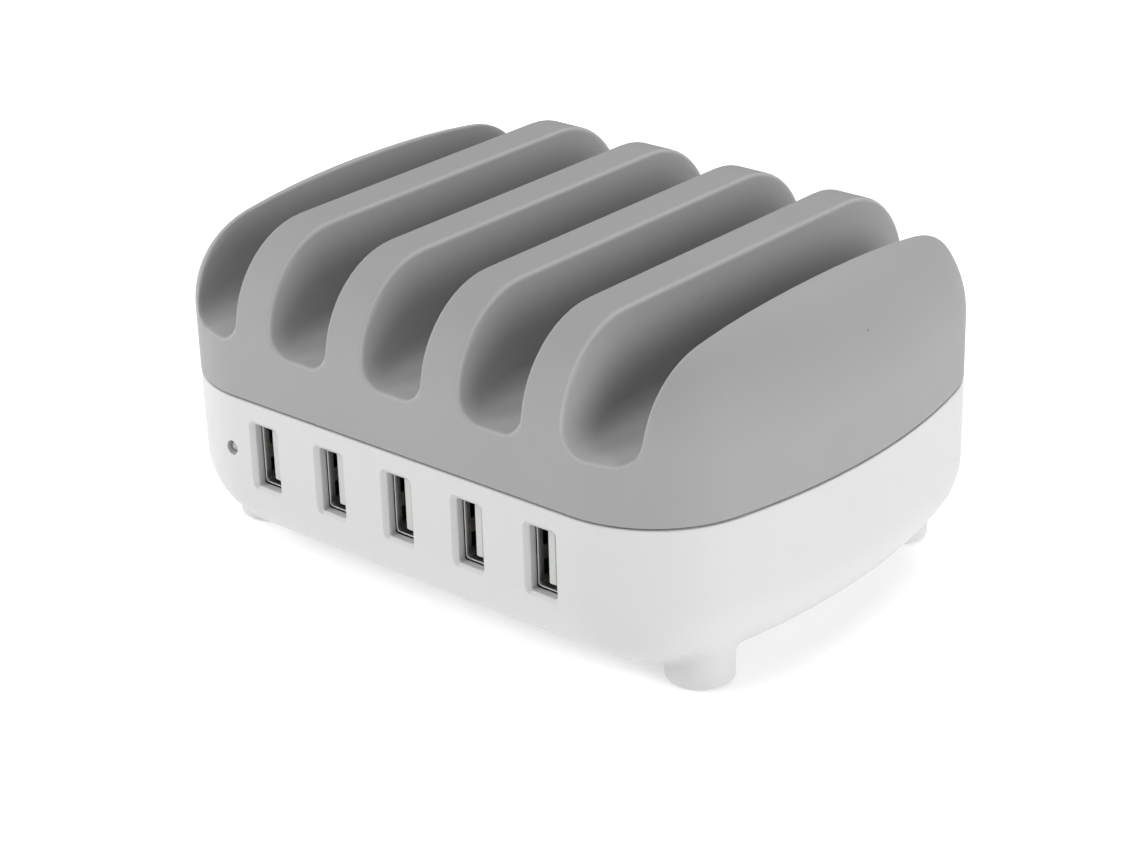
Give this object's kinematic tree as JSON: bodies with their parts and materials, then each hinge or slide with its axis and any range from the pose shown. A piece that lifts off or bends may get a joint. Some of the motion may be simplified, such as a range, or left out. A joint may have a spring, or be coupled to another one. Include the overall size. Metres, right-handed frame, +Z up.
{
  "type": "usb charging station",
  "caption": "Desk charging station: white rounded base with upright USB-A sockets in front, grey cover with slots that hold devices on edge.",
  "frame": {"origin": "on the table plane under the centre of the housing's plan", "axes": "+X along the row of sockets and across the slots, +Y from the sockets to the rear, +Z up"},
  "size_m": [0.1512, 0.112, 0.074],
  "materials": {
    "cover_plastic": "fine matt grain, light grey",
    "base_plastic": "smooth satin white",
    "pad_rubber": "matt black rubber",
    "screw_steel": "zinc plated steel",
    "lamp_lens": "clear moulded lens",
    "plated_wire": "tin plated",
    "board_laminate": "glass laminate with solder mask",
    "insulating_film": "plain film",
    "socket_shell": "nickel plated sheet",
    "socket_plastic": "plain white moulding",
    "contact_metal": "plated contact strip",
    "black_moulding": "plain black moulding",
    "ferrite": "ground ferrite",
    "winding_tape": "yellow tape over the winding",
    "capacitor_sleeve": "shrink sleeve",
    "yellow_case": "moulded case",
    "enamelled_wire": "enamelled copper wire",
    "fuse_ceramic": "ceramic tube",
    "thermistor_coat": "dipped coat",
    "blue_coat": "dipped coat",
    "optocoupler_case": "moulded case",
    "sink_aluminium": "extruded aluminium"
  },
  "bodies": {
    "root": {"top_cover": "cover_plastic", "base_shell": "base_plastic", "foot_pads": "pad_rubber", "housing_screws": "screw_steel", "status_lamp": "lamp_lens", "lamp_leads": "plated_wire", "main_board": "board_laminate", "insulating_sheet": "insulating_film", "board_screws": "screw_steel", "usb_shell_1": "socket_shell", "usb_shell_2": "socket_shell", "usb_shell_3": "socket_shell", "usb_shell_4": "socket_shell", "usb_shell_5": "socket_shell", "usb_tongue_1": "socket_plastic", "usb_tongue_2": "socket_plastic", "usb_tongue_3": "socket_plastic", "usb_tongue_4": "socket_plastic", "usb_tongue_5": "socket_plastic", "usb_contacts_1": "contact_metal", "usb_contacts_2": "contact_metal", "usb_contacts_3": "contact_metal", "usb_contacts_4": "contact_metal", "usb_contacts_5": "contact_metal", "inlet_body": "black_moulding", "inlet_pins": "plated_wire", "transformer_core_upper": "ferrite", "transformer_core_lower": "ferrite", "transformer_bobbin": "black_moulding", "transformer_winding": "winding_tape", "bulk_capacitor_1": "capacitor_sleeve", "bulk_capacitor_2": "capacitor_sleeve", "output_capacitor_1": "capacitor_sleeve", "output_capacitor_2": "capacitor_sleeve", "output_capacitor_3": "capacitor_sleeve", "interference_capacitor": "yellow_case", "choke_core": "ferrite", "choke_wire_left": "enamelled_wire", "choke_wire_right": "enamelled_wire", "fuse": "fuse_ceramic", "thermistor": "thermistor_coat", "safety_capacitor": "blue_coat", "bridge_rectifier": "black_moulding", "optocoupler": "optocoupler_case", "primary_heat_sink": "sink_aluminium", "switch_transistor": "black_moulding", "output_heat_sink": "sink_aluminium", "output_rectifier": "black_moulding", "controller_chips": "black_moulding"}
  },
  "joints": []
}
